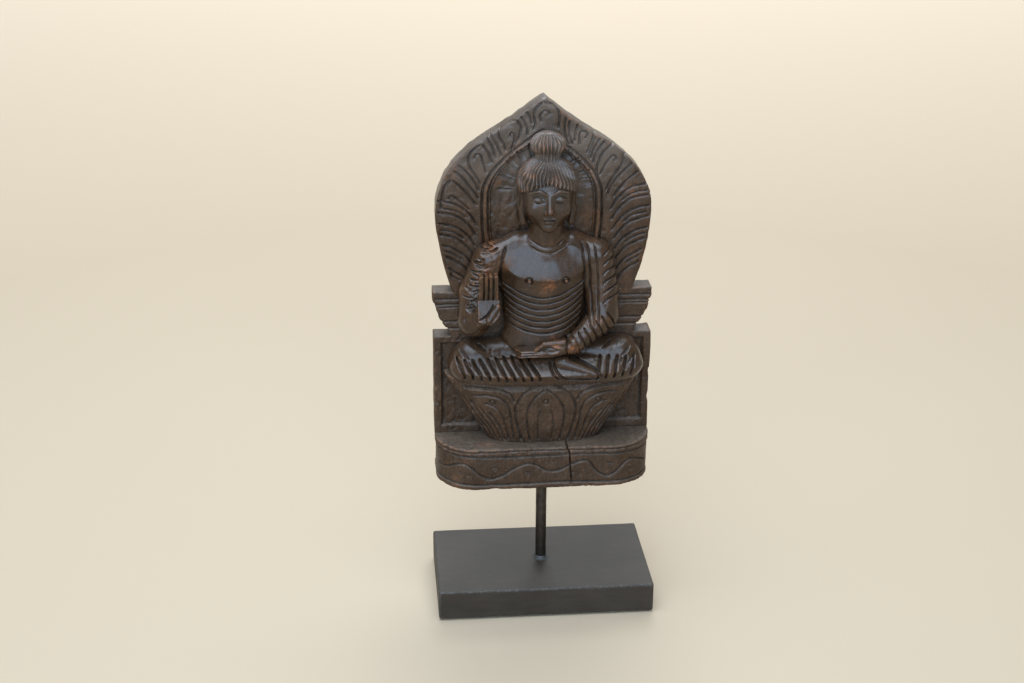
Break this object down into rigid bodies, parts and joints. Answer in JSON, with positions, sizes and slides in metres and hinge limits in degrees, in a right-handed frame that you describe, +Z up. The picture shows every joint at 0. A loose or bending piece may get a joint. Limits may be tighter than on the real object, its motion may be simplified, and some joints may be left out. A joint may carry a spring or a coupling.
{
  "type": "carved seated figure on a rod stand",
  "caption": "Carved wooden seated figure on a lotus throne with a leaf-shaped aureole, held above a small rectangular base by a steel rod on which it turns.",
  "frame": {"origin": "centre of the underside of the felt feet, on the axis of the rod", "axes": "+Z up along the rod, the figure faces -Y, +X is towards the figure's left hand"},
  "size_m": [0.127, 0.076, 0.303],
  "materials": {
    "carved_wood": "very dark stained and waxed wood, satin where it is polished, dull and dusty on upward faces, orange-brown where edges have worn",
    "base_paint": "matte charcoal paint over board",
    "rod_steel": "blackened steel, satin",
    "filler": "black painted filler",
    "zinc_steel": "zinc plated steel",
    "felt": "black felt"
  },
  "bodies": {
    "stand": {"base_block": "base_paint", "rod": "rod_steel", "rod_fillet": "filler", "washer": "zinc_steel", "nut": "zinc_steel", "foot_pad_1": "felt", "foot_pad_2": "felt", "foot_pad_3": "felt", "foot_pad_4": "felt"},
    "carving": {"plinth": "carved_wood", "throne_back": "carved_wood", "throne_rail": "carved_wood", "aureole": "carved_wood", "lotus_seat": "carved_wood", "legs": "carved_wood", "torso": "carved_wood", "head": "carved_wood", "hair_cap": "carved_wood", "topknot": "carved_wood", "right_arm": "carved_wood", "right_hand": "carved_wood", "left_arm": "carved_wood", "left_hand": "carved_wood"}
  },
  "joints": [
    {"name": "carving_swivel", "type": "hinge", "parent": "stand", "child": "carving", "pos_m": [0, 0, 0.0875], "axis": [0, 0, 1], "continuous": true}
  ]
}
